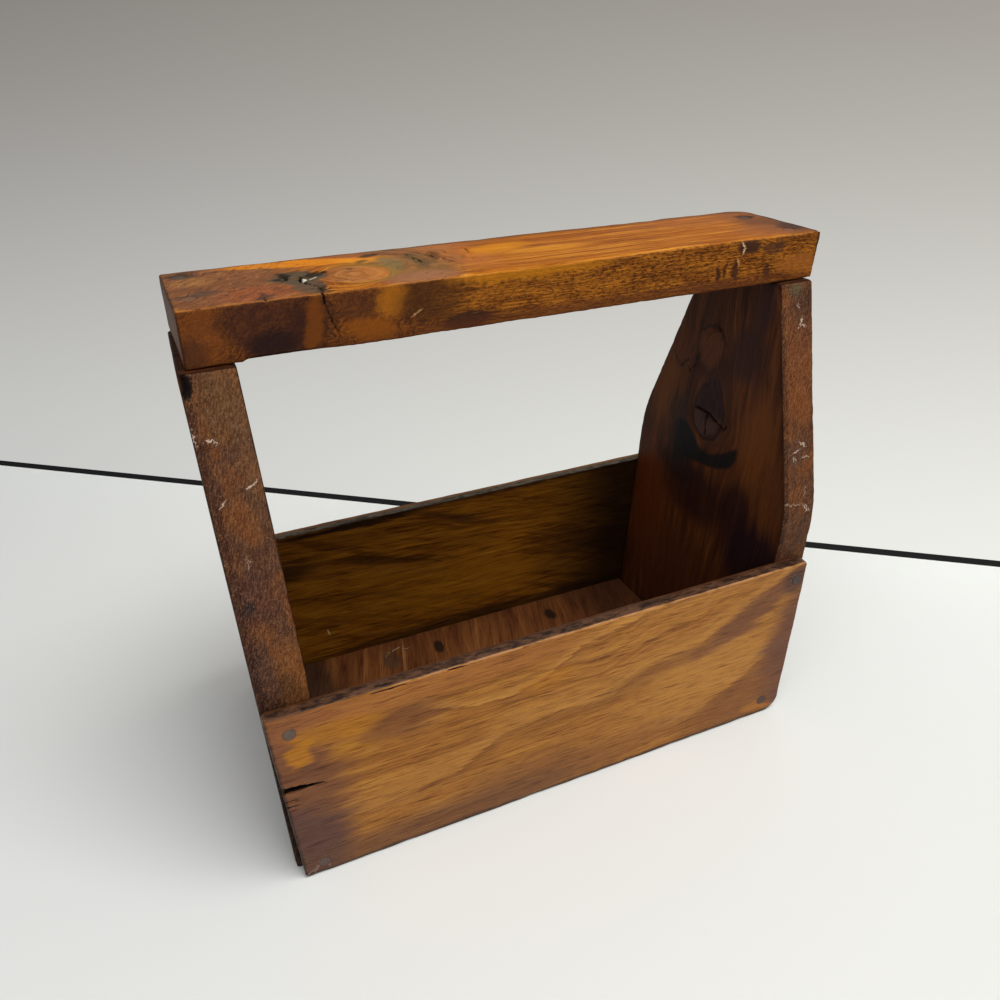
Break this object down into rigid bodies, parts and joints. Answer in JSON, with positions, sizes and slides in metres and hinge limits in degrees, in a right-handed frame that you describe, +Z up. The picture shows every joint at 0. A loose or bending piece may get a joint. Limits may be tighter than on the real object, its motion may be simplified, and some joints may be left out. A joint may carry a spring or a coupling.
{
  "type": "tool tote",
  "caption": "Open wooden tool tote: a nailed tray between tapered end boards that carry a flat handle bar.",
  "frame": {"origin": "on the surface the tote stands on, below the middle of the whole tote", "axes": "+X along the tray towards the end board that leans out more, +Y towards the back, +Z up"},
  "size_m": [0.3071, 0.15, 0.2578],
  "materials": {
    "handle_bar": "stained and varnished pine, worn",
    "left_end_board": "rough-sawn, stained and varnished pine, worn",
    "right_end_board": "rough-sawn, stained and varnished pine, worn",
    "front_board": "stained and varnished softwood sheet, worn",
    "rear_board": "stained and varnished softwood sheet, worn",
    "floor_board": "stained and varnished softwood sheet, dark",
    "nails": "dull, darkened steel wire nails"
  },
  "bodies": {
    "root": {"handle_bar": "handle_bar", "left_end_board": "left_end_board", "right_end_board": "right_end_board", "front_board": "front_board", "rear_board": "rear_board", "floor_board": "floor_board", "front_board_nails": "nails", "rear_board_nails": "nails", "handle_nails": "nails", "floor_nails": "nails"}
  },
  "joints": []
}
